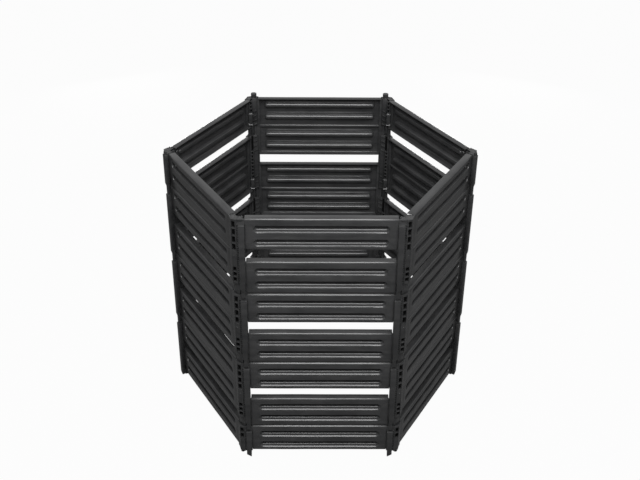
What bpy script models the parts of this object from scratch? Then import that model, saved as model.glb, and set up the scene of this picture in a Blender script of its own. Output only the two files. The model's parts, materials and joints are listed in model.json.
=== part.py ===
import math

import bmesh
import bpy
from mathutils import Matrix, Vector

# Driving dimensions, in metres
corner_to_corner = 1.134  # between opposite corners of the panels' outer faces
slat_height = 0.119
slat_pitch = 0.130  # from one slat of a double panel to the next
slot_height = 0.045  # open slot between two stacked panels
face_to_corner = 0.0365  # from the end of a panel's face to the corner line
plate_thickness = 0.004
flange_depth = 0.026
edge_chamfer = 0.0034

groove_height = 0.028
groove_depth = 0.0045  # of its shallow half
groove_wall = 0.0028  # plastic left behind a groove
groove_pitch = 0.0515
groove_shift = 0.005  # of a slat's grooves off its middle, towards their shallow halves
groove_inset = 0.029  # from the end of the face to the end of a groove
groove_round = 0.0105  # length of the sloped part of a groove's end
groove_blunt = 0.45  # share of a groove's height that its flat end takes
deep_depth = 0.0145  # of a groove's deep half
deep_height = 0.012
deep_margin = 0.0022  # from the groove's own edge to that of its deep half
deep_inset = 0.0085  # from the end of a groove to the end of its deep half
deep_round = 0.005
valley_depth = 0.005  # of the notch between the two slats of a double panel
valley_floor = 0.0036  # height of the notch's floor
valley_wall_spread = 0.0028  # how far the plastic behind the notch reaches above and below it
joined_overlap = 0.002  # how far pieces that are moulded in one run into each other
joined_step = 0.0005  # keeps the end wall's edges off the plate's own edges

rod_radius = 0.007  # from the middle of a rod to its flats
rod_to_corner = 0.020
rod_depth = 0.008  # from the face plane to the middle of the rod
end_wall = 0.004
rod_gap = 0.0003  # between stacked rods

clip_clearance = 0.0004  # round a rod and its tongue
clip_wall = 0.003
clip_chamfer = 0.003  # of the clip's outer edges
clip_lip_step = 0.0015  # from the arm's back to the start of the neighbour's lip
arm_to_corner = 0.035  # far edge of the arm on the owner's side
ladder_foot = 0.0285  # from the corner line, where the ladder rises from the arm
ladder_near = (-0.0100, -0.0015)  # the ladder face's edges, in the neighbour's directions
ladder_far = (0.0080, 0.0058)
channel_floor = 0.0036  # of the upright channel between ladder and pillar
channel_draft = 0.0005
pillar_proud = 0.013  # front of the pillar, in front of the neighbour's face
pillar_near = 0.0135  # its edges, from the corner line
pillar_far = 0.0342
pillar_wall = 0.003
pillar_chamfer = 0.0011  # of the pillar's far edge
pillar_floor = 0.00075  # from the arm's front to the pillar's hollow
bridge_height = 0.0045  # of the bar on which a connector hangs
bridge_overhang = 0.0008  # how far the bar runs into the keyhole's two lips
neck_entry = 0.006  # how far a pillar's neck reaches into the pillar above it
neck_plug = 0.009  # height of the plug that holds the neck in its own pillar
neck_wall = 0.0022
neck_hole_depth = 0.006
rim_neck = 0.008  # height of the neck on a top connector
core_reach = 0.0115  # from the corner line to the edge of a connector's core
core_depth = 0.0140  # from the face plane to the core's back edge
core_step = 0.0008  # keeps the core's faces inside those of the clip
core_recess = 0.003  # of the core's front edge, behind the face plane
pocket_span = (0.0013, 0.0145)  # the pockets' edges, from the ladder face's near edge
pocket_depth = 0.010
rung_height = 0.0044
pocket_margin = 0.008  # from a connector's top or bottom to its first pocket
pocket_plate = (0.118, 0.183)  # the closed stretch of a double ladder, below its top
pocket_counts = (4, 3)  # above and below that stretch
single_pockets_end = 0.056  # lower end of a single ladder's pockets, below its top
single_pocket_count = 2

plastic_colour = (0.030, 0.031, 0.033, 1.0)
plastic_roughness = 0.48

# Sizes that follow from them
half_side = corner_to_corner / 4
face_apothem = half_side * math.sqrt(3)
face_half_length = half_side - face_to_corner
double_height = slat_pitch + slat_height
rod_rise = (slot_height - rod_gap) / 2
octagon_share = math.tan(math.pi / 8)
channel_radius = rod_radius + clip_clearance
channel_slot = channel_radius * octagon_share
tongue_half = channel_slot - clip_clearance
clip_radius = channel_radius + clip_wall
arm_front = clip_radius - rod_depth

sides = {
    "front": 270,
    "right_front": 330,
    "right_back": 30,
    "back": 90,
    "left_back": 150,
    "left_front": 210,
}
single_on_top = ("front", "left_back", "right_back")

# Each corner: the side whose connector it is, and the side that it clips to
corners = {
    "front_left": ("left_front", "front"),
    "front_right": ("right_front", "front"),
    "left": ("left_back", "left_front"),
    "right": ("right_back", "right_front"),
    "back_left": ("left_back", "back"),
    "back_right": ("right_back", "back"),
}


def clear_scene():
    for item in list(bpy.data.objects):
        bpy.data.objects.remove(item, do_unlink=True)


def plastic(name, shade):
    """Matte recycled plastic; shade lightens or darkens it a little."""
    material = bpy.data.materials.new(name)
    material.use_nodes = True
    shader = material.node_tree.nodes["Principled BSDF"]
    colour = [channel * shade for channel in plastic_colour[:3]] + [1.0]
    shader.inputs["Base Color"].default_value = colour
    shader.inputs["Roughness"].default_value = plastic_roughness
    shader.inputs["Metallic"].default_value = 0.0
    material.diffuse_color = colour
    return material


def is_single(side, row):
    """Whether a side's panel in this row, counted from the top, has one slat."""
    return row == (0 if side in single_on_top else 3)


def row_height(side, row):
    return slat_height if is_single(side, row) else double_height


def row_bottom(side, row):
    """The height of a panel's lower edge: every side is stacked up from its rods' feet."""
    below = sum(row_height(side, lower) + slot_height for lower in range(row + 1, 4))
    return rod_rise + below


def prism(name, outline, low, high, holes=(), axis="z"):
    """A mesh object from an outline (and holes) in two coordinates, drawn out along the third."""
    bm = bmesh.new()
    edges = []
    for loop in (outline, *holes):
        if axis == "z":
            verts = [bm.verts.new((a, b, low)) for a, b in loop]
        elif axis == "x":
            verts = [bm.verts.new((low, a, b)) for a, b in loop]
        else:
            verts = [bm.verts.new((a, low, b)) for a, b in loop]
        edges += [bm.edges.new((verts[i - 1], verts[i])) for i in range(len(verts))]
    bmesh.ops.triangle_fill(bm, use_beauty=True, edges=edges)
    bmesh.ops.dissolve_limit(bm, angle_limit=0.001, verts=bm.verts[:], edges=bm.edges[:])
    made = bmesh.ops.extrude_face_region(bm, geom=bm.faces[:], use_keep_orig=True)
    moved = [item for item in made["geom"] if isinstance(item, bmesh.types.BMVert)]
    step = {"x": (high - low, 0, 0), "y": (0, high - low, 0), "z": (0, 0, high - low)}[axis]
    bmesh.ops.translate(bm, verts=moved, vec=step)
    bmesh.ops.recalc_face_normals(bm, faces=bm.faces[:])
    mesh = bpy.data.meshes.new(name)
    bm.to_mesh(mesh)
    bm.free()
    return bpy.data.objects.new(name, mesh)


def combine(base, others, operation):
    """Applies one exact Boolean after another to the base's mesh."""
    collection = bpy.context.scene.collection
    collection.objects.link(base)
    for other in others:
        collection.objects.link(other)
        modifier = base.modifiers.new(other.name, "BOOLEAN")
        modifier.operation = operation
        modifier.solver = "EXACT"
        modifier.object = other
    graph = bpy.context.evaluated_depsgraph_get()
    made = bpy.data.meshes.new_from_object(base.evaluated_get(graph))
    base.modifiers.clear()
    base.data = made
    collection.objects.unlink(base)
    for other in others:
        bpy.data.objects.remove(other, do_unlink=True)
    return base


def octagon(centre, radius):
    """Corners of an octagon whose flats lie at this radius, first flat at the right."""
    reach = radius / math.cos(math.pi / 8)
    turns = [math.pi / 8 + math.pi / 4 * step for step in range(8)]
    return [(centre[0] + reach * math.cos(a), centre[1] + reach * math.sin(a)) for a in turns]


def groove_outline(middle, reach, half_height, sloped):
    """A long slot with blunt round ends, in length and height."""
    blunt = half_height * groove_blunt
    inner = reach - sloped
    right = [(inner, -half_height), (reach, -blunt), (reach, blunt), (inner, half_height)]
    left = [(-a, b) for a, b in reversed(right)]
    return [(a, middle + b) for a, b in right + left]


def panel_section(slats):
    """Depth and height of the panel's wall: plate, two flanges and the notch between slats."""
    height = slat_height if slats == 1 else double_height
    back = -plate_thickness
    front = [(-edge_chamfer, 0), (0, edge_chamfer)]
    rear = [(-flange_depth, height), (-flange_depth, height - plate_thickness)]
    rear += [(back, height - plate_thickness)]
    if slats == 2:
        middle = height / 2
        half = (slat_pitch - slat_height) / 2
        floor = valley_floor / 2
        spread = half + valley_wall_spread
        front += [(0, middle - half), (-valley_depth, middle - floor)]
        front += [(-valley_depth, middle + floor), (0, middle + half)]
        behind = back - valley_depth
        rear += [(back, middle + spread), (behind, middle + half)]
        rear += [(behind, middle - half), (back, middle - spread)]
    front += [(0, height - edge_chamfer), (-edge_chamfer, height)]
    rear += [(back, plate_thickness), (-flange_depth, plate_thickness), (-flange_depth, 0)]
    return front + rear


def panel_end(side_sign, height, head):
    """The end wall, its tongue, and the upright rod at the tongue's edge, which ends head above."""
    wall_inner = face_half_length - end_wall
    wall_outer = face_half_length - joined_step
    rod_place = half_side - rod_to_corner
    near = -rod_depth + tongue_half
    far = -rod_depth - tongue_half
    inside = -joined_overlap
    wall_back = far - joined_step
    wall = [(wall_inner, inside), (wall_outer, inside)]
    wall += [(wall_outer, wall_back), (wall_inner, wall_back)]
    tongue_start = face_half_length - joined_overlap
    tongue = [(tongue_start, near), (rod_place, near), (rod_place, far), (tongue_start, far)]
    rod = octagon((rod_place, -rod_depth), rod_radius)
    low = joined_overlap
    spans = {
        "wall": (wall, low, height - low),
        "tongue": (tongue, low + joined_step, height - bridge_height - rod_gap),
        "rod": (rod, -rod_rise, height + head),
    }
    made = []
    for name, (outline, bottom, top) in spans.items():
        made.append(prism(name, [(side_sign * a, b) for a, b in outline], bottom, top))
    return made


def groove(middle, turned):
    """The ribs behind a two-level groove and the blocks that cut it; turned is upside down."""
    reach = face_half_length - groove_inset
    half = groove_height / 2
    offset = half - deep_margin - deep_height / 2
    deep_middle = middle - offset if turned else middle + offset
    levels = [
        (middle, reach, half, groove_round, groove_depth),
        (deep_middle, reach - deep_inset, deep_height / 2, deep_round, deep_depth),
    ]
    ribs = []
    cuts = []
    for number, (centre, end, half_height, sloped, depth) in enumerate(levels):
        step = number * joined_step
        rib = groove_outline(centre, end + groove_wall, half_height + groove_wall, sloped)
        cut = groove_outline(centre, end, half_height, sloped)
        ribs.append(prism("rib", rib, -depth - groove_wall, -joined_overlap - step, axis="y"))
        cuts.append(prism("groove", cut, -depth, plate_thickness - step, axis="y"))
    return ribs, cuts


def panel_mesh(slats, head, turned):
    """A panel standing on its lower edge, outer face at depth 0 and the inside at minus."""
    height = slat_height if slats == 1 else double_height
    name = f"panel_{slats}"
    shift = groove_shift if turned else -groove_shift
    base = prism(name, panel_section(slats), -face_half_length, face_half_length, axis="x")
    middles = []
    for slat in range(slats):
        between = slat * slat_pitch + slat_height / 2 + shift
        middles += [between - groove_pitch / 2, between + groove_pitch / 2]
    ribs = []
    cuts = []
    for middle in middles:
        made = groove(middle, turned)
        ribs += made[0]
        cuts += made[1]
    ends = panel_end(1, height, head) + panel_end(-1, height, head)
    base = combine(base, ribs + ends, "UNION")
    return combine(base, cuts, "DIFFERENCE").data


def on_owner(along, proud):
    """Local place of a point this far from the corner along the owner's face plane."""
    turn = math.radians(120)
    return (
        math.cos(turn) * along - math.sin(turn) * proud,
        -math.sin(turn) * along - math.cos(turn) * proud,
    )


def channel_loop():
    """Outline of the keyhole round a rod, as distances along the side and outward from the rod."""
    keyhole = octagon((0, 0), channel_radius)
    lip = clip_radius
    return [(lip, channel_slot), *keyhole, (lip, -channel_slot)]


def connector_outline():
    """The clip's section: owner's arm, ladder face, pillar, and a keyhole for each rod."""
    middle = -rod_depth
    front = arm_front
    back = middle - clip_radius
    plate_back = front - clip_wall
    inner_corner = -back * math.tan(math.radians(30))
    cut = clip_chamfer
    lip_end = rod_to_corner + clip_radius
    keyhole = [(rod_to_corner + a, middle + b) for a, b in channel_loop()]
    outline = [
        on_owner(arm_to_corner, front),
        on_owner(ladder_foot, front),
        ladder_near,
        ladder_far,
        (ladder_far[0] + channel_draft, channel_floor),
        (pillar_near - channel_draft, channel_floor),
        (pillar_near, pillar_proud),
        (pillar_far - pillar_chamfer, pillar_proud),
        (pillar_far, pillar_proud - pillar_chamfer),
        (pillar_far, plate_back + clip_lip_step),
        (lip_end, plate_back - clip_lip_step),
    ]
    outline += keyhole
    outline += [(lip_end, back + cut), (lip_end - cut, back), (inner_corner, back)]
    outline += [on_owner(lip_end - cut, back), on_owner(lip_end, back + cut)]
    outline += [on_owner(a, b) for a, b in reversed(keyhole)]
    outline += [on_owner(lip_end, plate_back), on_owner(arm_to_corner, plate_back)]
    return outline


def pillar_hole():
    low = arm_front + pillar_floor
    high = pillar_proud - pillar_wall
    left = pillar_near + pillar_wall
    right = pillar_far - pillar_wall
    return [(left, low), (right, low), (right, high), (left, high)]


def neck_outline(shrink):
    """The pillar's hollow, made smaller all round."""
    (left, low), (right, _), (_, high), _ = pillar_hole()
    left, right = left + shrink, right - shrink
    low, high = low + shrink, high - shrink
    return [(left, low), (right, low), (right, high), (left, high)]


def core_outline():
    """The clip's solid middle, between its two keyholes."""
    inner = -(arm_front - 2 * clip_radius) * math.tan(math.radians(30)) - core_step
    back = arm_front - 2 * clip_radius + core_step
    near = -core_step
    return [
        (core_reach, near),
        (core_reach, -core_depth),
        (inner, back),
        on_owner(core_reach, -core_depth),
        on_owner(core_reach, near),
        on_owner(clip_wall, -core_recess),
        (pillar_near - core_step, pillar_wall),
    ]


def connector_top(height, neck, has_core):
    """What stands on a connector: the pillar's hollow neck and, under another one, the core."""
    plug = prism("plug", neck_outline(-joined_step), height - neck_plug, height - joined_step)
    outline = neck_outline(clip_clearance)
    mouth = neck_outline(clip_clearance + neck_wall)
    middle = height + neck - neck_hole_depth
    low = height - neck_plug + joined_step
    parts = [plug, prism("neck", outline, low, height + neck)]
    if has_core:
        low = height - joined_overlap
        parts.append(prism("core", core_outline(), low, height + slot_height - rod_gap))
    return parts, prism("mouth", mouth, middle, height + neck + joined_overlap)


def rotated_box(name, along, proud, low, high):
    """A block between two distances along the owner's side and two outward, in the local frame."""
    outline = [
        on_owner(along[0], proud[0]),
        on_owner(along[1], proud[0]),
        on_owner(along[1], proud[1]),
        on_owner(along[0], proud[1]),
    ]
    return prism(name, outline, low, high)


def pocket_levels(slats):
    """How far below a connector's top each pocket starts, and the pocket's height."""
    if slats == 1:
        spans = [(pocket_margin, single_pockets_end, single_pocket_count)]
    else:
        bottom = double_height - pocket_margin
        edges = (pocket_margin, *pocket_plate, bottom)
        spans = [(*edges[:2], pocket_counts[0]), (*edges[2:], pocket_counts[1])]
    levels = []
    for top, bottom, count in spans:
        pitch = (bottom - top + rung_height) / count
        levels += [(top + step * pitch, pitch - rung_height) for step in range(count)]
    return levels


def pocket(top, bottom):
    """A block that cuts one pocket into the ladder face."""
    near = Vector(ladder_near)
    along = (Vector(ladder_far) - near).normalized()
    outward = Vector((-along.y, along.x))
    outline = []
    for proud, span in ((joined_overlap, pocket_span), (-pocket_depth, reversed(pocket_span))):
        outline += [tuple(near + along * reach + outward * proud) for reach in span]
    return prism("pocket", outline, bottom, top)


def connector_mesh(slats, neck, has_core):
    """A connector standing on its lower end, neighbour's side along +X and outward along +Y."""
    height = slat_height if slats == 1 else double_height
    name = f"connector_{slats}"
    base = prism(name, connector_outline(), 0, height, holes=[pillar_hole()])
    lip_end = rod_to_corner + clip_radius
    bar_half = channel_slot + bridge_overhang
    bar_edges = (-rod_depth - bar_half, -rod_depth + bar_half)
    bar_along = (rod_to_corner + channel_radius + clip_clearance, lip_end - joined_step)
    bridge = rotated_box("bridge", bar_along, bar_edges, height - bridge_height, height)
    top_parts, mouth = connector_top(height, neck, has_core)
    base = combine(base, [bridge, *top_parts], "UNION")
    pockets = [pocket(height - level, height - level - tall) for level, tall in pocket_levels(slats)]
    return combine(base, [*pockets, mouth], "DIFFERENCE").data


def side_matrix(azimuth, bottom):
    """From a panel's own axes (along, outward, up) to its side of the bin."""
    turn = math.radians(azimuth)
    outward = Vector((math.cos(turn), math.sin(turn), 0))
    along = Vector((outward.y, -outward.x, 0))
    place = outward * face_apothem + Vector((0, 0, bottom))
    return Matrix((
        (along.x, outward.x, 0, place.x),
        (along.y, outward.y, 0, place.y),
        (0, 0, 1, place.z),
        (0, 0, 0, 1),
    ))


def corner_frame(owner, neighbour):
    """The corner point, and the directions away from it along the neighbour and outward."""
    turns = [math.radians(sides[name]) for name in (owner, neighbour)]
    outwards = [Vector((math.cos(a), math.sin(a), 0)) for a in turns]
    corner = (outwards[0] + outwards[1]).normalized() * half_side * 2
    along = (outwards[1] * face_apothem - corner).normalized()
    return corner, along, outwards[1]


def mirrored_copy(mesh):
    copy = mesh.copy()
    copy.transform(Matrix.Scale(-1, 4, Vector((1, 0, 0))))
    copy.flip_normals()
    return copy


def place(name, mesh, matrix, material):
    item = bpy.data.objects.new(name, mesh)
    item.matrix_world = matrix
    item.data.materials.clear()
    item.data.materials.append(material)
    bpy.context.scene.collection.objects.link(item)
    return item


def build_panels():
    materials = {slats: plastic(f"panel_plastic_{slats}", 1.0) for slats in (1, 2)}
    meshes = {}
    for side, azimuth in sides.items():
        for row in range(4):
            slats = 1 if is_single(side, row) else 2
            head = rod_rise if row > 0 else 0
            kind = (slats, head, side not in single_on_top)
            if kind not in meshes:
                meshes[kind] = panel_mesh(*kind)
            matrix = side_matrix(azimuth, row_bottom(side, row))
            place(f"panel_{side}_{row + 1}", meshes[kind], matrix, materials[slats])


def build_connectors():
    materials = {slats: plastic(f"connector_plastic_{slats}", 0.9) for slats in (1, 2)}
    meshes = {}
    for name, (owner, neighbour) in corners.items():
        corner, along, outward = corner_frame(owner, neighbour)
        mirrored = along.cross(outward).z < 0
        if mirrored:
            along = -along
        for row in range(4):
            slats = 1 if is_single(owner, row) else 2
            neck = slot_height + neck_entry if row > 0 else rim_neck
            kind = (slats, neck, mirrored)
            if kind not in meshes:
                mesh = connector_mesh(slats, neck, row > 0)
                meshes[kind] = mirrored_copy(mesh) if mirrored else mesh
            matrix = Matrix((
                (along.x, outward.x, 0, corner.x),
                (along.y, outward.y, 0, corner.y),
                (0, 0, 1, row_bottom(owner, row)),
                (0, 0, 0, 1),
            ))
            place(f"connector_{name}_{row + 1}", meshes[kind], matrix, materials[slats])


clear_scene()
build_panels()
build_connectors()
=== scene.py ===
import json
import math

import bmesh
import bpy
from mathutils import Matrix, Vector, noise

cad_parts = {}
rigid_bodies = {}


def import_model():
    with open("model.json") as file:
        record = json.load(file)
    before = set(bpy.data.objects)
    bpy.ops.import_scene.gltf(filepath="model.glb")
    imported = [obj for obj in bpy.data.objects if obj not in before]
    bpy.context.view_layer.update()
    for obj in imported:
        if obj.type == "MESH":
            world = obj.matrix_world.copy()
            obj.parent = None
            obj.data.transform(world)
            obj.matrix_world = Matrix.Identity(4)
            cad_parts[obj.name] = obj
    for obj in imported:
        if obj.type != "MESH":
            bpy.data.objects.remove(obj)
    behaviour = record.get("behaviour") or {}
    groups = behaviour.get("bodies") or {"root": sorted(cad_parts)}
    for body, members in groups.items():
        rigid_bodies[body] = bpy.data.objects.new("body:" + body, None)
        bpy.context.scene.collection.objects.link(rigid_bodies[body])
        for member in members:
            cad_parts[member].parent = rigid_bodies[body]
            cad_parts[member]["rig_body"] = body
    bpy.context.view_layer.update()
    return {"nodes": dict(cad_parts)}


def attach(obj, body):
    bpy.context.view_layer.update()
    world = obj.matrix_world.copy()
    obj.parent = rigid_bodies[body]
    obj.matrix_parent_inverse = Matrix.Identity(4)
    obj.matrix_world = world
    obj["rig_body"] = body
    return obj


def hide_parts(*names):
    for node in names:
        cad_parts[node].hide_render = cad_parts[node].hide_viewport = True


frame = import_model()
nodes = frame["nodes"]

# Lengths are in metres. A panel's own axes: x along it, y out of the bin, z up from its lower edge.
binLayout = {
    "halfSide": 0.2835,  # middle of a side to its corner line
    "apothem": 0.49104,  # middle of the bin to the panels' faces
    "rodRise": 0.02235,  # how far rods stand out above and below a panel
    "slatHeight": 0.119,
    "slatPitch": 0.130,  # from one slat of a double panel to the next
    "slotHeight": 0.045,
    # each side and the direction that it faces, in degrees
    "sides": {
        "front": 270,
        "right_front": 330,
        "right_back": 30,
        "back": 90,
        "left_back": 150,
        "left_front": 210,
    },
    "singleOnTop": ("front", "left_back", "right_back"),
    # each corner: the side that owns its connectors, and the neighbour that they clip to
    "corners": {
        "front_left": ("left_front", "front"),
        "front_right": ("right_front", "front"),
        "left": ("left_back", "left_front"),
        "right": ("right_back", "right_front"),
        "back_left": ("left_back", "back"),
        "back_right": ("right_back", "back"),
    },
    "rows": 4,  # counted from the top
    "cornerAngle": 120,  # degrees between two sides
    "sharpAngle": 38,  # degrees, past which an edge isn't shaded smooth
}
tiny = 1e-6  # the gap in metres that still counts as none


def isSingle(side, row):
    return row == (1 if side in binLayout["singleOnTop"] else binLayout["rows"])


def panelHeight(slats):
    return binLayout["slatHeight"] + binLayout["slatPitch"] * (slats - 1)


def rowHeight(side, row):
    return panelHeight(1 if isSingle(side, row) else 2)


def rowBottom(side, row):
    lowerRows = range(row + 1, binLayout["rows"] + 1)
    below = sum(rowHeight(side, lower) + binLayout["slotHeight"] for lower in lowerRows)
    return binLayout["rodRise"] + below


def outwardOf(side):
    turn = math.radians(binLayout["sides"][side])
    return Vector((math.cos(turn), math.sin(turn), 0))


def uprightMatrix(along, outward, place):
    return Matrix((
        (along.x, outward.x, 0, place.x),
        (along.y, outward.y, 0, place.y),
        (0, 0, 1, place.z),
        (0, 0, 0, 1),
    ))


def sideMatrix(side, bottom):
    outward = outwardOf(side)
    along = Vector((outward.y, -outward.x, 0))
    return uprightMatrix(along, outward, outward * binLayout["apothem"] + Vector((0, 0, bottom)))


def cornerMatrix(corner, bottom):
    # x leads away from the corner along the neighbour's side, y out of that side
    owner, neighbour = (outwardOf(side) for side in binLayout["corners"][corner])
    point = (owner + neighbour).normalized() * binLayout["halfSide"] * 2
    along = (neighbour * binLayout["apothem"] - point).normalized()
    return uprightMatrix(along, neighbour, point + Vector((0, 0, bottom)))


# Shader nodes

class Value:
    # a node socket that takes part in sums and products
    def __init__(self, finish, socket):
        self.finish = finish
        self.socket = socket

    def work(self, operation, first, second):
        return self.finish.node("ShaderNodeMath", {"operation": operation}, {0: first, 1: second})

    def __add__(self, other):
        return self.work("ADD", self, other)

    def __radd__(self, other):
        return self.work("ADD", other, self)

    def __sub__(self, other):
        return self.work("SUBTRACT", self, other)

    def __rsub__(self, other):
        return self.work("SUBTRACT", other, self)

    def __mul__(self, other):
        return self.work("MULTIPLY", self, other)

    def __rmul__(self, other):
        return self.work("MULTIPLY", other, self)


class Finish:
    # the nodes of one material, or of the world
    def __init__(self, owner):
        owner.use_nodes = True
        self.tree = owner.node_tree
        self.tree.nodes.clear()

    def node(self, kind, settings=None, sockets=None, output=0):
        made = self.tree.nodes.new(kind)
        for name, setting in (settings or {}).items():
            if name == "stops":
                for element, (place, level) in zip(made.color_ramp.elements, setting):
                    element.position = place
                    element.color = (level, level, level, 1)
            else:
                setattr(made, name, setting)
        for name, value in (sockets or {}).items():
            if isinstance(value, Value):
                self.tree.links.new(value.socket, made.inputs[name])
            else:
                made.inputs[name].default_value = value
        return Value(self, made.outputs[output]) if made.outputs else None

    def noise(self, place, scale, detail=3, roughness=0.55):
        sockets = {"Vector": place, "Scale": scale, "Detail": detail, "Roughness": roughness}
        return self.node("ShaderNodeTexNoise", {}, sockets)

    def ramp(self, value, low, high):
        return self.node("ShaderNodeValToRGB", {"stops": ((low, 0), (high, 1))}, {"Fac": value})

    def stretched(self, place, scale, turn=(0, 0, 0)):
        return self.node("ShaderNodeMapping", {}, {"Vector": place, "Scale": scale, "Rotation": turn})

    def seenDirectly(self, inGloss):
        # 1 for what the camera sees of a backdrop, and a share of that in reflections
        rays = ("Is Camera Ray", "Is Transmission Ray", "Is Glossy Ray")
        camera, through, gloss = (self.node("ShaderNodeLightPath", output=ray) for ray in rays)
        return camera + through + gloss * inGloss


plasticLooks = {
    "panel": {"dark": (0.0185, 0.0188, 0.0194), "pale": (0.0400, 0.0400, 0.0406), "roughness": 0.26},
    "connector": {"dark": (0.0140, 0.0143, 0.0148), "pale": (0.0330, 0.0330, 0.0335), "roughness": 0.32},
    "flowStretch": (1.0, 7.0, 7.0),
    "scuffStretch": (1.0, 14.0, 14.0),
    "scuffTurn": (0, 0.12, 0),
    # how often each mark comes in a metre
    "flowScale": 9.0,
    "waveScale": 5.0,
    "blotchScale": 16.0,
    "scuffScale": 24.0,
    "speckScale": 420.0,
    "grainScale": 900.0,
    # the levels between which a pattern comes up
    "speckLevels": (0.68, 0.78),
    "scuffLevels": (0.62, 0.80),
    "toneLevels": (0.36, 0.66),
    # how much each pattern adds to the shade, to the roughness and to the height in metres;
    # base and scuff make the roughness less
    "shadeShares": {"tone": 0.75, "speck": 0.35, "scuff": 0.4},
    "roughShares": {"base": 0.04, "blotch": 0.10, "grain": 0.06, "scuff": 0.05},
    "heights": {"wave": 0.0011, "flow": 0.00022, "grain": 0.00004, "scuff": 0.00003},
    "bumpStrength": 0.85,
    # painted shade on the pockets' floors: its near-black colour and how much of it is mixed in
    "pocketShadeColour": (0.003, 0.003, 0.003, 1),
    "pocketShadeShare": 0.9,
}


def mouldedPlastic(name, tint):
    # black recycled plastic: flow streaks along the piece, pale specks, a fine grain and worn patches; on
    # faces marked as pockets' floors a near-black diffuse is mixed in as painted shade
    looks = plasticLooks
    material = bpy.data.materials.new(name)
    finish = Finish(material)
    place = finish.node("ShaderNodeAttribute", {"attribute_name": "ownPlace"}, {}, "Vector")
    flowPlace = finish.stretched(place, looks["flowStretch"])
    flow = finish.noise(flowPlace, looks["flowScale"], 4, 0.6)
    blotch = finish.noise(place, looks["blotchScale"], 3)
    grain = finish.noise(place, looks["grainScale"], 2)
    speck = finish.ramp(finish.noise(place, looks["speckScale"], 1), *looks["speckLevels"])
    scuffPlace = finish.stretched(place, looks["scuffStretch"], looks["scuffTurn"])
    scuff = finish.ramp(finish.noise(scuffPlace, looks["scuffScale"], 5, 0.7), *looks["scuffLevels"])
    tone = finish.ramp(flow * 0.6 + blotch * 0.4, *looks["toneLevels"])
    shares = looks["shadeShares"]
    shade = tone * shares["tone"] + speck * shares["speck"] + scuff * shares["scuff"]
    ends = {0: shade, 6: (*tint["dark"], 1), 7: (*tint["pale"], 1)}
    colour = finish.node("ShaderNodeMix", {"data_type": "RGBA"}, ends, 2)
    shares = looks["roughShares"]
    rough = tint["roughness"] - shares["base"] + blotch * shares["blotch"]
    rough = rough + grain * shares["grain"] - scuff * shares["scuff"]
    wave = finish.noise(flowPlace, looks["waveScale"], 2)
    heights = looks["heights"]
    height = wave * heights["wave"] + flow * heights["flow"]
    height = height + grain * heights["grain"] + scuff * heights["scuff"]
    bump = {"Strength": looks["bumpStrength"], "Distance": 1.0, "Height": height}
    normal = finish.node("ShaderNodeBump", {}, bump)
    shader = finish.node(
        "ShaderNodeBsdfPrincipled",
        {},
        {"Base Color": colour, "Roughness": rough, "Normal": normal, "IOR": 1.49, "Specular IOR Level": 0.42},
    )
    # painted shade: a near-black diffuse mixed over the faces marked as pockets' floors
    pocketShade = finish.node("ShaderNodeAttribute", {"attribute_name": "pocketShade"}, {}, "Fac")
    dark = finish.node("ShaderNodeBsdfDiffuse", {}, {"Color": looks["pocketShadeColour"]})
    mixed = finish.node("ShaderNodeMixShader", {}, {0: pocketShade * looks["pocketShadeShare"], 1: shader, 2: dark})
    finish.node("ShaderNodeOutputMaterial", {}, {"Surface": mixed})
    return material


panelPlastic = mouldedPlastic("panelPlastic", plasticLooks["panel"])
connectorPlastic = mouldedPlastic("connectorPlastic", plasticLooks["connector"])
print("materials ready")


# Shared mesh work

def keepPlaces(mesh, steps, number):
    # a pattern follows a piece by its own axes, shifted so that no two pieces look the same
    shift = Vector([number * step for step in steps])
    places = mesh.attributes.new("ownPlace", "FLOAT_VECTOR", "POINT")
    for vertex, stored in zip(mesh.vertices, places.data):
        stored.vector = vertex.co + shift


def finishedMesh(name, bm, modifiers=()):
    # the mesh after its modifiers, as plain geometry
    mesh = bpy.data.meshes.new(name)
    bm.to_mesh(mesh)
    bm.free()
    helper = bpy.data.objects.new(name, mesh)
    bpy.context.scene.collection.objects.link(helper)
    for kind, settings in modifiers:
        modifier = helper.modifiers.new(kind, kind)
        for key, setting in settings.items():
            setattr(modifier, key, setting)
    graph = bpy.context.evaluated_depsgraph_get()
    made = bpy.data.meshes.new_from_object(helper.evaluated_get(graph))
    bpy.data.objects.remove(helper, do_unlink=True)
    return made


def extruded(bm, faces, rise, keepOrig):
    # faces drawn up or down; their new vertices and faces
    grown = bmesh.ops.extrude_face_region(bm, geom=faces, use_keep_orig=keepOrig)["geom"]
    verts = [part for part in grown if isinstance(part, bmesh.types.BMVert)]
    bmesh.ops.translate(bm, verts=verts, vec=(0, 0, rise))
    return verts, [part for part in grown if isinstance(part, bmesh.types.BMFace)]


def softened(bm, edges, width):
    return bmesh.ops.bevel(
        bm, geom=edges, offset=width, segments=2, profile=0.5, affect="EDGES", material=-1, clamp_overlap=True
    )["verts"]


def post(bm, centre, radius, low, high, segments=8, hole=None):
    # an upright polygonal rod; a hole is (radius, depth) from its top and stays under a lid
    half = math.pi / segments
    place = Matrix.Translation((centre[0], centre[1], low)) @ Matrix.Rotation(half, 4, "Z")
    made = bmesh.ops.create_circle(
        bm, cap_ends=True, radius=radius / math.cos(half), segments=segments, matrix=place
    )
    _, top = extruded(bm, [made["verts"][0].link_faces[0]], high - low, True)
    if hole:
        bmesh.ops.inset_region(bm, faces=top, thickness=radius - hole[0], use_even_offset=True)
        extruded(bm, top, -hole[1], False)


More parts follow.
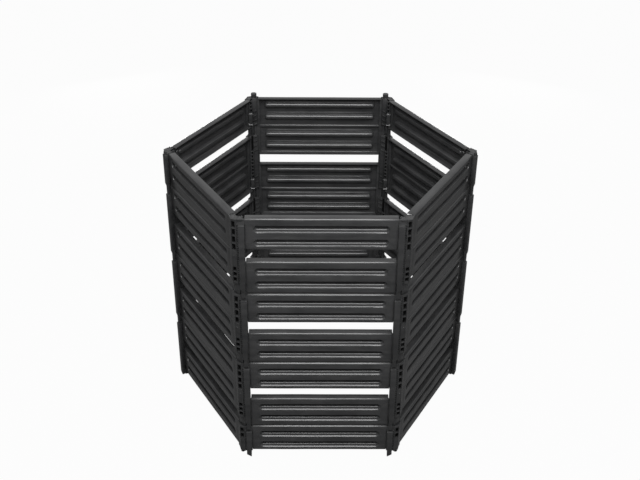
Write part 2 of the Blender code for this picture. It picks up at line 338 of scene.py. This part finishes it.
def block(bm, corners, low, high, bevel=0.0004):
    # an upright prism over a few points, with softened edges
    bottom = bm.faces.new([bm.verts.new((x, y, low)) for x, y in corners])
    upper, _ = extruded(bm, [bottom], high - low, True)
    verts = list(bottom.verts) + upper
    bmesh.ops.recalc_face_normals(bm, faces=list({f for v in verts for f in v.link_faces}))
    if bevel:
        made = softened(bm, list({e for v in verts for e in v.link_edges}), bevel)
        verts = list(set(made) | {v for v in verts if v.is_valid})
    return verts


def rectangle(left, right, near, far):
    return [(left, near), (right, near), (right, far), (left, far)]


def placePiece(node, mesh, material):
    first, *others = node.split("_")
    piece = bpy.data.objects.new(first + "".join(word.capitalize() for word in others), mesh)
    bpy.context.scene.collection.objects.link(piece)
    mesh.materials.clear()
    mesh.materials.append(material)
    mesh.shade_smooth()
    mesh.set_sharp_from_angle(angle=math.radians(binLayout["sharpAngle"]))
    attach(piece, nodes[node]["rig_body"])
    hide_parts(node)


# Panels

panelShape = {
    "halfLength": 0.2484,
    "flangeDepth": 0.026,
    "edgeRound": 0.0068,
    "wall": 0.0028,
    "crispBevel": 0.0007,
    "crispAngle": 1.1,  # radians, past which an edge gets that bevel
    # the notch between the two slats of a double panel
    "notchDepth": 0.0050,
    "notchHalf": 0.0055,
    "notchFloor": 0.0029,
    "notchRound": 0.0010,
    "notchBelowMiddle": 0.0034,
    "slatFaceArea": 0.02,  # only the slats' own faces are larger
    "grooveMiddles": (0.03375, 0.08525),
    "grooveShift": 0.0056,  # of a slat's grooves, towards their shallow halves
    "grooveReach": 0.2215,
    "grooveHalf": 0.0143,
    "groovePoints": 20,
    # a groove's rings in millimetres: below the upper lip, above the lower lip, depth, in from the end
    "rings": (
        (0.0, 0.0, 0.0, 0.0),
        (0.3, 0.9, 0.3, 0.5),
        (0.7, 1.7, 1.6, 1.3),
        (1.0, 2.4, 3.2, 2.2),
        (1.3, 3.4, 4.3, 3.0),
        (1.6, 8.4, 4.6, 5.0),
        (1.7, 9.9, 5.0, 5.5),
        (1.7, 11.2, 5.7, 6.0),
        (1.8, 12.4, 6.7, 6.4),
        (1.8, 13.2, 7.9, 6.8),
        (1.9, 13.7, 9.5, 7.2),
        (2.0, 14.0, 11.5, 7.6),
        (2.4, 14.4, 13.5, 8.2),
        (3.2, 15.2, 14.5, 9.2),
        (4.4, 16.4, 14.7, 10.4),
    ),
    # the same for panels that stand on their heads, as if they stood upright
    "turnedRings": (
        (0.0, 0.0, 0.0, 0.0),
        (0.3, 0.3, 0.3, 0.2),
        (0.7, 0.8, 1.7, 0.4),
        (1.0, 1.2, 3.3, 0.6),
        (1.3, 2.2, 4.3, 0.8),
        (1.8, 9.6, 4.6, 1.0),
        (1.9, 10.8, 5.2, 1.1),
        (2.0, 11.7, 6.2, 1.2),
        (2.2, 12.4, 7.9, 1.4),
        (2.5, 13.2, 10.0, 1.7),
        (2.9, 14.3, 12.0, 2.1),
        (3.6, 15.9, 13.3, 3.0),
        (4.6, 17.8, 14.1, 4.3),
        (5.4, 19.4, 14.4, 5.6),
    ),
    "cuts": 13,  # across the panel's length, so that it can be a little wavy
    "cutSpan": 0.93,  # share of the grooves' reach that they divide
    "warp": 0.0007,
    "warpMargin": 0.03,  # at each end, which stays straight
    "endWall": 0.004,
    "endWallInset": 0.002,  # from the panel's top and bottom
    "endWallRound": 0.0005,
    "endWallFront": 0.0022,
    "endWallBack": 0.0112,
    "rodFromMiddle": 0.2635,
    "rodDepth": 0.008,
    "rodRadius": 0.007,
    "rodCore": 0.0067,
    "rodHole": (0.0034, 0.014),  # radius and depth
    "rodGap": 0.0002,
    "rodFoot": 0.004,  # how far the rod's thick ends reach in from the panel's top and bottom
    "rimRod": (0.0100, 0.0010),  # its last stretch on the top row, from and to below the rim
    "tongueHalf": 0.00266,
    "tongueBelowTop": 0.0048,
    "tongueAboveBottom": 0.0025,
    "tongueRound": 0.0003,
    "dots": (-0.148, 0.031, 0.170),  # moulding marks on the inside
    "dotRadius": 0.0028,
    "dotHeight": 0.0012,
    # how far the pattern and the waves move from one panel to the next, and how often waves come
    "patternSteps": (1.7, 0.9, 2.3),
    "waveSteps": (5.1, 1),  # along the panel and up it
    "waveScales": (9, 11),
}


def sectionPoints(slats):
    # depth and height along the outer skin, from the lower flange's inner edge to the upper one's
    shape = panelShape
    height = panelHeight(slats)
    depth, half, floor = shape["notchDepth"], shape["notchHalf"], shape["notchFloor"]
    points = [(-shape["flangeDepth"], 0), (0, 0)]
    if slats == 2:
        middle = height / 2 - shape["notchBelowMiddle"]
        points += [(0, middle - half), (-depth, middle - floor), (-depth, middle + floor), (0, middle + half)]
    return points + [(0, height), (-shape["flangeDepth"], height)]


def ringEdges(bm, middle, ring, turned):
    # one loop of a groove: a circle drawn out to a long slot
    shape = panelShape
    above, below, depth, inset = (value / 1000 for value in ring)
    if turned:
        above, below = below, above
        middle += shape["grooveShift"]
    else:
        middle -= shape["grooveShift"]
    top = middle + shape["grooveHalf"] - above
    bottom = middle - shape["grooveHalf"] + below
    radius = (top - bottom) / 2
    reach = shape["grooveReach"] - inset
    upright = Matrix.Translation((0, -depth, (top + bottom) / 2)) @ Matrix.Rotation(math.pi / 2, 4, "X")
    half = Matrix.Rotation(math.pi / shape["groovePoints"], 4, "Z")
    made = bmesh.ops.create_circle(bm, radius=radius, segments=shape["groovePoints"], matrix=upright @ half)
    for side in (-1, 1):
        moved = [v for v in made["verts"] if v.co.x * side > 0]
        bmesh.ops.translate(bm, verts=moved, vec=(side * (reach - radius), 0, 0))
    return list({e for v in made["verts"] for e in v.link_edges})


def pressGrooves(bm, face, base, turned):
    # a slat's face opened round its two grooves and filled again
    shape = panelShape
    outline = list(face.edges)
    bmesh.ops.delete(bm, geom=[face], context="FACES_ONLY")
    for middle in shape["grooveMiddles"]:
        rings = shape["turnedRings" if turned else "rings"]
        loops = [ringEdges(bm, base + middle, ring, turned) for ring in rings]
        outline += loops[0]
        for outer, inner in zip(loops, loops[1:]):
            bmesh.ops.bridge_loops(bm, edges=outer + inner)
        bmesh.ops.contextual_create(bm, geom=loops[-1])
    bmesh.ops.triangle_fill(bm, edges=outline, use_beauty=True)


def panelSkin(slats, turned):
    # turned panels stand on their heads, which swaps the deep and the shallow half of each groove
    shape = panelShape
    height = panelHeight(slats)
    bm = bmesh.new()
    verts = [bm.verts.new((-shape["halfLength"], y, z)) for y, z in sectionPoints(slats)]
    for pair in zip(verts, verts[1:]):
        bm.edges.new(pair)
    rounding = {"profile": 0.5, "affect": "VERTICES", "material": -1}
    rounded = [v for v in verts if abs(v.co.y) < tiny and (v.co.z < tiny or v.co.z > height - tiny)]
    bmesh.ops.bevel(bm, geom=rounded, offset=shape["edgeRound"], segments=4, **rounding)
    clear = shape["edgeRound"] * 2
    notch = [v for v in bm.verts if clear < v.co.z < height - clear]
    if notch:
        bmesh.ops.bevel(bm, geom=notch, offset=shape["notchRound"], segments=2, **rounding)
    drawn = bmesh.ops.extrude_edge_only(bm, edges=bm.edges[:])["geom"]
    moved = [v for v in drawn if isinstance(v, bmesh.types.BMVert)]
    bmesh.ops.translate(bm, verts=moved, vec=(shape["halfLength"] * 2, 0, 0))
    for face in [f for f in bm.faces if abs(f.normal.y) > 0.9 and f.calc_area() > shape["slatFaceArea"]]:
        isLower = min(v.co.z for v in face.verts) < height / 3
        pressGrooves(bm, face, 0 if isLower else binLayout["slatPitch"], turned)
    span = shape["grooveReach"] * shape["cutSpan"]
    for cut in range(1, shape["cuts"]):
        whole = bm.verts[:] + bm.edges[:] + bm.faces[:]
        place = (-span + cut * span * 2 / shape["cuts"], 0, 0)
        bmesh.ops.bisect_plane(bm, geom=whole, plane_co=place, plane_no=(1, 0, 0))
    bmesh.ops.remove_doubles(bm, verts=bm.verts[:], dist=tiny)
    bmesh.ops.recalc_face_normals(bm, faces=bm.faces[:])
    largest = max(bm.faces, key=lambda f: f.calc_area())
    if largest.calc_center_median().y > -tiny and largest.normal.y < 0:
        bmesh.ops.reverse_faces(bm, faces=bm.faces[:])
    return bm


def panelMesh(slats, turned, onTop):
    shape = panelShape
    solid = {"thickness": shape["wall"], "offset": -1, "use_even_offset": True, "use_quality_normals": True}
    crisp = {"width": shape["crispBevel"], "segments": 2, "limit_method": "ANGLE"}
    crisp["angle_limit"] = shape["crispAngle"]
    shell = finishedMesh("panelShell", panelSkin(slats, turned), [("SOLIDIFY", solid), ("BEVEL", crisp)])
    bm = bmesh.new()
    bm.from_mesh(shell)
    for side in (-1, 1):
        panelEnd(bm, side, panelHeight(slats), onTop)
    dotDepth = -shape["wall"] - shape["dotHeight"] / 4
    for x in shape["dots"]:
        for slat in range(slats):
            place = (x, dotDepth, binLayout["slatHeight"] / 2 + slat * binLayout["slatPitch"])
            upright = Matrix.Translation(place) @ Matrix.Rotation(math.pi / 2, 4, "X")
            bmesh.ops.create_cone(
                bm, cap_ends=True, segments=12, radius1=shape["dotRadius"], radius2=shape["dotRadius"] * 0.8,
                depth=shape["dotHeight"], matrix=upright,
            )
    return finishedMesh(f"panel{slats}", bm)


def panelEnd(bm, side, height, onTop):
    # the end wall, the tongue that stands out of it and the rod on the tongue
    shape = panelShape
    inner = side * (shape["halfLength"] - shape["endWall"])
    outer = side * (shape["halfLength"] - 0.0003)
    wall = rectangle(inner, outer, -shape["endWallFront"], -shape["endWallBack"])
    block(bm, wall, shape["endWallInset"], height - shape["endWallInset"], shape["endWallRound"])
    start = side * (shape["halfLength"] - shape["endWall"] / 2)
    rod = side * shape["rodFromMiddle"]
    near, far = -shape["rodDepth"] + shape["tongueHalf"], -shape["rodDepth"] - shape["tongueHalf"]
    tongue = rectangle(start, rod, near, far)
    block(bm, tongue, shape["tongueAboveBottom"], height - shape["tongueBelowTop"], shape["tongueRound"])
    radius, foot = shape["rodRadius"], shape["rodFoot"]
    rise = binLayout["rodRise"] - shape["rodGap"]
    place = (rod, -shape["rodDepth"])
    post(bm, place, radius, -rise, foot)
    post(bm, place, shape["rodCore"], foot - 0.001, height - foot + 0.001)
    if onTop:
        low, high = shape["rimRod"]
        post(bm, place, radius, height - low, height - high)
    else:
        post(bm, place, radius, height - foot, height + rise, hole=shape["rodHole"])


def warpPanel(mesh, number):
    # moulded panels are never quite flat
    shape = panelShape
    scaleX, scaleZ = shape["waveScales"]
    shiftX, shiftZ = (number * step for step in shape["waveSteps"])
    for vertex in mesh.vertices:
        if abs(vertex.co.x) < shape["halfLength"] - shape["warpMargin"]:
            wave = noise.noise(Vector((vertex.co.x * scaleX + shiftX, 0, vertex.co.z * scaleZ + shiftZ)))
            vertex.co.y += wave * shape["warp"]


panelMeshes = {}
count = 0
for side in binLayout["sides"]:
    for row in range(1, binLayout["rows"] + 1):
        kind = (1 if isSingle(side, row) else 2, side not in binLayout["singleOnTop"], row == 1)
        if kind not in panelMeshes:
            panelMeshes[kind] = panelMesh(*kind)
        mesh = panelMeshes[kind].copy()
        count += 1
        keepPlaces(mesh, panelShape["patternSteps"], count)
        warpPanel(mesh, count)
        mesh.transform(sideMatrix(side, rowBottom(side, row)))
        placePiece(f"panel_{side}_{row}", mesh, panelPlastic)
print("panels ready")


# Corner connectors. Their own axes: x away from the corner along the neighbour's side, y out of it, z up.

connectorShape = {
    "rodToCorner": 0.020,
    "rodDepth": 0.008,
    "channelRadius": 0.0074,
    "channelPoints": 8,
    "clipRadius": 0.0104,
    "armReach": 0.0347,
    "armFront": 0.0024,
    "armBack": -0.0006,
    "lipStep": 0.0015,
    "edgeCut": 0.003,
    "softening": 0.0006,
    "ladderFoot": 0.0285,  # from the corner along the owner's side
    "ladderNear": (-0.0100, -0.0015),  # edges of the ladder's face, in the neighbour's directions
    "ladderFar": (0.0080, 0.0058),
    "cheekShare": 0.55,  # of the way from the ladder's foot to its near edge, where the pockets' floor is
    "railRound": 0.0005,
    "pocketDepth": 0.010,
    "pocketSpan": (0.0013, 0.0145),  # along the ladder's face, from its near edge
    "pocketWall": 0.0158,  # the same, to the wall of the channel beside the pillar
    "pockets": {2: ((0.008, 0.118, 4), (0.183, 0.241, 3)), 1: ((0.008, 0.056, 2),)},  # from, to, number
    "rungHeight": 0.0044,
    "rungRound": 0.0013,
    "bossBelowTop": 0.137,
    "bossRadius": 0.0026,
    "channelFloor": 0.0036,
    "teethPitch": 0.0085,
    "teethFrom": 0.010,
    "tooth": (0.0040, 0.0104, 0.0032),  # length, front and height
    "toothRound": 0.0003,
    "sleeve": (0.0135, 0.0347, 0.0024, 0.0130),  # from and to, along the neighbour's side and outward
    "sleeveRound": 0.0010,
    "sleevePoint": (0.004, 0.011),  # how far in and down its lower end is drawn to a point
    "sleeveBand": (0.0048, 0.0023),  # height and rounding of the band at its upper end
    "cap": (0.0084, 0.0290, -0.0060, 0.0046),
    "capHeight": (0.0065, 0.0012),  # below and above the rim
    "capRound": 0.0026,
    "neck": (0.0165, 0.0310, 0.0030, 0.0098),
    "neckReach": 0.051,
    # by corner: how far the sleeve hangs below the connector's top, and the post above it on the top row
    "hang": {
        "front_left": 0.020,
        "front_right": 0.020,
        "left": 0.005,
        "right": 0.005,
        "back_left": 0.014,
        "back_right": 0.014,
    },
    "rimPost": {
        "front_left": 0,
        "front_right": 0,
        "left": 0.006,
        "right": 0.006,
        "back_left": 0.015,
        "back_right": 0.015,
    },
    "backPost": {"place": (0.0163, -0.0040), "radius": 0.0110, "hole": (0.0046, 0.008), "sunk": 0.004},
    "sidePost": {"radius": 0.0056, "hole": (0.0028, 0.006), "sunk": 0.012},
    "bar": (0.0276, 0.0300),  # from and to, along the owner's side
    "barHalf": 0.0036,
    "barHeight": 0.0046,
    "coreReach": 0.0127,
    "coreDepth": 0.0140,
    # the inner ladder: rails by their edges along and out of the neighbour's side,
    # pockets and plates by their distances from the top
    "innerRails": (((-0.0022, 0.0002), (-0.0355, -0.0290)), ((0.0084, 0.0108), (-0.0355, -0.0176))),
    "innerBack": ((0.0108, -0.0180), (0.0010, -0.0300)),  # where its rungs and plates end inside the clip
    "innerPockets": {2: (0.070, 0.196), 1: (0.010, 0.058)},
    "innerPlates": {2: (0.200, 0.240), 1: (0.062, 0.108)},
    "innerPitch": 0.0157,
    "innerRung": (0.0022, 0.0010, 0.25),  # half its height, its rounding and its slope
    "ledgeReach": (0.0012, 0.0030),  # of the ledges at a plate's top and bottom
    "ledgeHeight": (0.0030, 0.0042),  # below and above the plate's edge
    "ledgeFall": 0.0064,
    "slantPitch": 0.0215,
    "slants": {2: ((0.006, 0.068), (0.190, 0.243)), 1: ((0.056, 0.114),)},
    "slantRib": (0.0114, 0.0278),  # from and to, along the neighbour's side
    "slantReach": 0.0056,
    "slantHalf": 0.0030,
    "slantRound": 0.0026,
    "slantSlope": 0.55,
    # how near a face must be to a pocket's floor to get painted shade
    "pocketShadeReach": 0.0012,
    "patternSteps": (2.1, 1.3, 0.7),  # the pattern's shift from one connector to the next
}


def clipBack():
    return -connectorShape["rodDepth"] - connectorShape["clipRadius"]


def innerCorner(back):
    # where the backs of both halves meet
    return (-back * math.tan(math.radians(90 - binLayout["cornerAngle"] / 2)), back)


def onOwner(along, proud):
    # a place along the owner's side from the corner and out of that side
    turn = math.radians(binLayout["cornerAngle"])
    return (
        math.cos(turn) * along - math.sin(turn) * proud,
        -math.sin(turn) * along - math.cos(turn) * proud,
    )


def onLadder(along, proud):
    # a place on the ladder's face, along it from its near edge and outward
    near, far = Vector(connectorShape["ladderNear"]), Vector(connectorShape["ladderFar"])
    step = (far - near).normalized()
    return tuple(near + step * along + Vector((-step.y, step.x)) * proud)


def ladderRectangle(start, end, front, back):
    return [onLadder(*corner) for corner in rectangle(start, end, front, back)]


def keyhole():
    # the channel round a rod, open towards the panel, from its front lip to its back lip
    shape = connectorShape
    across, deep = shape["rodToCorner"], -shape["rodDepth"]
    point = math.pi / shape["channelPoints"]
    reach = shape["channelRadius"] / math.cos(point)
    turns = [point + point * 2 * step for step in range(shape["channelPoints"])]
    loop = [(across + reach * math.cos(turn), deep + reach * math.sin(turn)) for turn in turns]
    half = reach * math.sin(point)
    lip = across + shape["clipRadius"]
    return [(lip, deep + half), *loop, (lip, deep - half)]


def ladderCheek():
    # where the ladder's outer cheek passes the pockets' floor
    shape = connectorShape
    foot, near = Vector(onOwner(shape["ladderFoot"], shape["armFront"])), Vector(shape["ladderNear"])
    return tuple(foot.lerp(near, shape["cheekShare"]))


def clipOutline():
    # both clips, the owner's arm and the floor of the ladder's pockets
    shape = connectorShape
    back = clipBack()
    lip = shape["rodToCorner"] + shape["clipRadius"]
    cut, step = shape["edgeCut"], shape["lipStep"]
    front, behind = shape["armFront"], shape["armBack"]
    left, right, _, _ = shape["sleeve"]
    floor = shape["channelFloor"]
    outline = [onOwner(shape["armReach"], front), onOwner(shape["ladderFoot"], front), ladderCheek()]
    outline += [onLadder(shape["pocketWall"], -shape["pocketDepth"]), (shape["ladderFar"][0] + 0.0006, floor)]
    outline += [(left - 0.0005, floor), (left - 0.0005, front), (right, front), (right, behind + step)]
    outline += [(lip, behind - step), *keyhole(), (lip, back + cut), (lip - cut, back), innerCorner(back)]
    outline += [onOwner(lip - cut, back), onOwner(lip, back + cut)]
    outline += [onOwner(*point) for point in reversed(keyhole())]
    return outline + [onOwner(lip, behind), onOwner(shape["armReach"], behind)]


def ladderFace(bm, slats, height):
    # rails, rungs and closed plates in front of the pockets' floor, each run a little into the next
    shape = connectorShape
    deep = -shape["pocketDepth"] - 0.0002
    start, end = shape["pocketSpan"]
    farX, floor = shape["ladderFar"][0], shape["channelFloor"] - 0.0003
    cheekX, cheekY = ladderCheek()
    nearRail = [shape["ladderNear"], onLadder(start, 0), onLadder(start, deep)]
    nearRail.append((cheekX + 0.0001, cheekY - 0.0002))
    farRail = [onLadder(end, 0), shape["ladderFar"], (farX + 0.0005, floor)]
    farRail += [onLadder(shape["pocketWall"] - 0.0001, deep), onLadder(end, deep)]
    for rail in (nearRail, farRail):
        block(bm, rail, 0, height, shape["railRound"])
    edges = [0]
    rung = ladderRectangle(start - 0.0004, end + 0.0004, 0.0002, deep)
    for low, high, number in shape["pockets"][slats]:
        edges += [low, high]
        pitch = (high - low + shape["rungHeight"]) / number
        for step in range(1, number):
            top = height - low - step * pitch + shape["rungHeight"]
            block(bm, rung, top - shape["rungHeight"], top, shape["rungRound"])
    edges.append(height)
    plate = ladderRectangle(start - 0.0004, end + 0.0004, -0.0003, deep)
    for high, low in zip(edges[::2], edges[1::2]):
        block(bm, plate, height - low, height - high, shape["railRound"])
    if slats == 2:
        place = (*onLadder((start + end) / 2, -0.0003), height - shape["bossBelowTop"])
        bmesh.ops.create_uvsphere(
            bm, u_segments=12, v_segments=8, radius=shape["bossRadius"], matrix=Matrix.Translation(place)
        )


def channelTeeth(bm, height):
    # the short teeth in the channel between ladder and pillar
    shape = connectorShape
    length, front, thick = shape["tooth"]
    left = shape["sleeve"][0]
    tooth = rectangle(left - length, left + 0.0002, shape["channelFloor"] - 0.0003, front)
    for step in range(int((height - 0.016) / shape["teethPitch"])):
        z = shape["teethFrom"] + step * shape["teethPitch"]
        block(bm, tooth, z, z + thick, shape["toothRound"])


def pillar(bm, corner, row, height, bottom):
    # a sleeve with a pointed lower end, and the neck that goes up into the next one
    shape = connectorShape
    hang = shape["hang"][corner]
    left, right, near, far = shape["sleeve"]
    pointIn, pointDown = shape["sleevePoint"]
    low = max(-hang, pointDown + 0.0005 - bottom)
    top = height - hang
    verts = block(bm, rectangle(left, right, near, far), low, top, 0)
    for vert in verts:
        if vert.co.z < low + 0.001 and vert.co.x > (left + right) / 2:
            vert.co.z -= pointDown
            vert.co.x -= pointIn
    softened(bm, list({e for v in verts for e in v.link_edges}), shape["sleeveRound"])
    bandHeight, bandRound = shape["sleeveBand"]
    band = rectangle(left + 0.0002, right - 0.0002, near, far + 0.0006)
    block(bm, band, top - bandHeight, top + 0.0004, bandRound)
    if row > 1:
        block(bm, rectangle(*shape["neck"]), height - 0.01, height + shape["neckReach"], 0.0005)
        return
    below, above = shape["capHeight"]
    block(bm, rectangle(*shape["cap"]), height - below, height + above, shape["capRound"])
    rise = shape["rimPost"][corner]
    if corner.startswith("back"):
        rim = shape["backPost"]
        post(bm, rim["place"], rim["radius"], height - rim["sunk"], height + rise, 8, rim["hole"])
    elif rise:
        rim = shape["sidePost"]
        left, right, near, far = shape["neck"]
        place = ((left + right) / 2, (near + far) / 2 + 0.0004)
        post(bm, place, rim["radius"], height - rim["sunk"], height + rise, 12, rim["hole"])


def slope(verts, rise, level):
    for vert in verts:
        vert.co.z += (vert.co.x - level) * rise


def innerLadder(bm, slats, height):
    # the ladder in the bin's corner, with a plate below it
    shape = connectorShape
    leftRail, rightRail = shape["innerRails"]
    left, right, front = leftRail[0][0], rightRail[0][1], leftRail[1][0]
    back = shape["innerBack"]
    high, low = (height - place for place in shape["innerPockets"][slats])
    for along, proud in shape["innerRails"]:
        block(bm, rectangle(*along, *proud), low - 0.004, high + 0.004, 0.0006)
    number = round((high - low) / shape["innerPitch"])
    half, rounding, rise = shape["innerRung"]
    for step in range(number + 1):
        z = high - (high - low) * step / number
        rung = block(bm, [(left, front), (right, front), *back], z - half, z + half, rounding)
        slope(rung, rise, left)
    high, low = (height - place for place in shape["innerPlates"][slats])
    plate = [(left - 0.0010, front - 0.0010), (right, front - 0.0010), *back]
    block(bm, plate, low, high, 0.0010)
    below, above = shape["ledgeHeight"]
    for edge, reach in zip((high, low), shape["ledgeReach"]):  # ledges that slope down to their front edges
        ledge = rectangle(left - reach, right + 0.0004, front - 0.0012 - reach / 2, front + 0.0032)
        for vert in block(bm, ledge, edge - below, edge + above, 0):
            if vert.co.z > edge and vert.co.y < front - 0.001:
                vert.co.z -= shape["ledgeFall"]


def slantedRibs(bm, slats, height):
    # ribs on the inside of the neighbour's clip
    shape = connectorShape
    left, right = shape["slantRib"]
    outline = rectangle(left, right, clipBack() - shape["slantReach"], clipBack() + 0.0005)
    half = shape["slantHalf"]
    for top, bottom in shape["slants"][slats]:
        steps = round((bottom - top) / shape["slantPitch"])
        for step in range(steps + 1):
            z = height - bottom + (bottom - top) * step / steps
            rib = block(bm, outline, z - half, z + half, shape["slantRound"])
            slope(rib, shape["slantSlope"], shape["rodToCorner"])


def markPocketShade(bm):
    # marks the floors of the ladders' pockets, which no light gets to, for painted shade
    shape = connectorShape
    layer = bm.faces.layers.float.new("pocketShade")
    outerFloor = Vector(ladderCheek()).lerp(Vector(onLadder(shape["pocketWall"], -shape["pocketDepth"])), 0.5)
    clipEdge = onOwner(shape["rodToCorner"] + shape["clipRadius"] - shape["edgeCut"], clipBack())
    innerFloor = Vector(innerCorner(clipBack())).lerp(Vector(clipEdge), 0.5)
    for face in bm.faces:
        middle = face.calc_center_median()
        isNear = any(math.dist(middle.xy, floor) < shape["pocketShadeReach"] for floor in (outerFloor, innerFloor))
        if abs(face.normal.z) < 0.5 and isNear:
            face[layer] = 1.0


def coreOutline():
    # the solid middle that goes up through the open slot
    shape = connectorShape
    reach, depth = shape["coreReach"], shape["coreDepth"]
    back = clipBack() + 0.0008
    outline = [(reach, -0.0008), (reach, -depth), innerCorner(back)]
    outline += [onOwner(reach, -depth), onOwner(reach, -0.0008), onOwner(0.003, -0.003)]
    return outline + [(shape["sleeve"][0] - 0.0008, 0.003)]


def hangingBar(bm, height):
    # the bar on which the connector hangs
    shape = connectorShape
    near, far = -shape["rodDepth"] - shape["barHalf"], -shape["rodDepth"] + shape["barHalf"]
    outline = [onOwner(*corner) for corner in rectangle(*shape["bar"], near, far)]
    block(bm, outline, height - shape["barHeight"], height - 0.0003, 0.0003)


def connectorPiece(corner, row, number):
    shape = connectorShape
    owner = binLayout["corners"][corner][0]
    slats = 1 if isSingle(owner, row) else 2
    height = rowHeight(owner, row)
    bottom = rowBottom(owner, row)
    node = f"connector_{corner}_{row}"
    bm = bmesh.new()
    block(bm, clipOutline(), 0.0002, height - 0.0002, shape["softening"])
    # the faces of the pockets' floors get painted shade
    markPocketShade(bm)
    ladderFace(bm, slats, height)
    channelTeeth(bm, height)
    pillar(bm, corner, row, height, bottom)
    innerLadder(bm, slats, height)
    slantedRibs(bm, slats, height)
    hangingBar(bm, height)
    if row > 1:
        block(bm, coreOutline(), height - 0.002, height + binLayout["slotHeight"] - 0.0003)
    bmesh.ops.recalc_face_normals(bm, faces=bm.faces[:])
    mesh = finishedMesh(node, bm)
    keepPlaces(mesh, shape["patternSteps"], number)
    matrix = cornerMatrix(corner, bottom)
    mesh.transform(matrix)
    if matrix.determinant() < 0:
        mesh.flip_normals()
    placePiece(node, mesh, connectorPlastic)


count = 0
for corner in binLayout["corners"]:
    for row in range(1, binLayout["rows"] + 1):
        count += 1
        connectorPiece(corner, row, count)
print("connectors ready")


# Floor, light and camera

studio = {
    "floorSize": 14.0,
    "floorPaint": 0.16,
    "floorGlow": 0.97,  # share of the floor that is plain white, whatever the shadow
    "floorInGloss": 0.06,
    "worldDiffuse": 0.26,
    "worldInGloss": 0.5,
    # place, aim, watts and metres across
    "lights": {
        "topLight": ((0.05, -1.75, 3.2), (0, 0, 0.6), 160.0, 2.1),
        "frontLight": ((0.0, -3.3, 2.9), (0, 0, 0.5), 14.0, 1.5),
        "backLeftLight": ((-1.4, 3.2, 0.5), (0, 0, 0.5), 24.0, 0.8),
        "backRightLight": ((1.4, 3.2, 0.5), (0, 0, 0.5), 24.0, 0.8),
    },
}

cameraFit = {
    "place": (-0.0369, -3.2052, 2.61805),
    "down": 31.645,  # degrees
    "turn": -0.0118,  # radians
    "roll": 0.0092,
    "focalPixels": 981.2,
    "sensor": 36.0,
    "pixels": 640,
    "clipEnd": 100,
}


def makeFloor():
    bm = bmesh.new()
    bmesh.ops.create_grid(bm, x_segments=4, y_segments=4, size=studio["floorSize"])
    mesh = bpy.data.meshes.new("floor")
    bm.to_mesh(mesh)
    bm.free()
    floor = bpy.data.objects.new("floor", mesh)
    bpy.context.scene.collection.objects.link(floor)
    material = bpy.data.materials.new("floorWhite")
    finish = Finish(material)
    paint = finish.node("ShaderNodeBsdfDiffuse", {}, {"Color": (studio["floorPaint"],) * 3 + (1,)})
    glow = finish.node("ShaderNodeEmission", {}, {"Color": (1, 1, 1, 1), "Strength": 1.0})
    share = finish.seenDirectly(studio["floorInGloss"]) * studio["floorGlow"]
    mixed = finish.node("ShaderNodeMixShader", {}, {0: share, 1: paint, 2: glow})
    finish.node("ShaderNodeOutputMaterial", {}, {"Surface": mixed})
    mesh.materials.append(material)


def makeWorld():
    world = bpy.data.worlds.new("studio")
    bpy.context.scene.world = world
    finish = Finish(world)
    dim, plain = (
        finish.node("ShaderNodeBackground", {}, {"Color": (1, 1, 1, 1), "Strength": strength})
        for strength in (studio["worldDiffuse"], 1.0)
    )
    seen = finish.seenDirectly(studio["worldInGloss"])
    mixed = finish.node("ShaderNodeMixShader", {}, {0: seen, 1: dim, 2: plain})
    finish.node("ShaderNodeOutputWorld", {}, {"Surface": mixed})


def softLight(name, place, target, power, size):
    lamp = bpy.data.lights.new(name, "AREA")
    lamp.energy = power
    lamp.size = size
    holder = bpy.data.objects.new(name, lamp)
    holder.location = place
    holder.rotation_euler = (Vector(target) - Vector(place)).to_track_quat("-Z", "Y").to_euler()
    bpy.context.scene.collection.objects.link(holder)


def makeCamera():
    fit = cameraFit
    turn, down = fit["turn"], math.radians(fit["down"])
    right = Vector((math.cos(turn), math.sin(turn), 0))
    ahead = Vector((-math.sin(turn), math.cos(turn), 0))
    forward = ahead * math.cos(down) - Vector((0, 0, math.sin(down)))
    up = right.cross(forward)
    rolledRight = right * math.cos(fit["roll"]) + up * math.sin(fit["roll"])
    rolledUp = up * math.cos(fit["roll"]) - right * math.sin(fit["roll"])
    data = bpy.data.cameras.new("camera")
    data.sensor_width = fit["sensor"]
    data.lens = fit["focalPixels"] * fit["sensor"] / fit["pixels"]
    data.clip_end = fit["clipEnd"]
    camera = bpy.data.objects.new("camera", data)
    axes = Matrix((rolledRight, rolledUp, -forward)).transposed().to_4x4()
    camera.matrix_world = Matrix.Translation(fit["place"]) @ axes
    bpy.context.scene.collection.objects.link(camera)
    bpy.context.scene.camera = camera


makeFloor()
makeWorld()
for name, settings in studio["lights"].items():
    softLight(name, *settings)
makeCamera()
bpy.context.scene.view_settings.view_transform = "Standard"
print("studio ready")
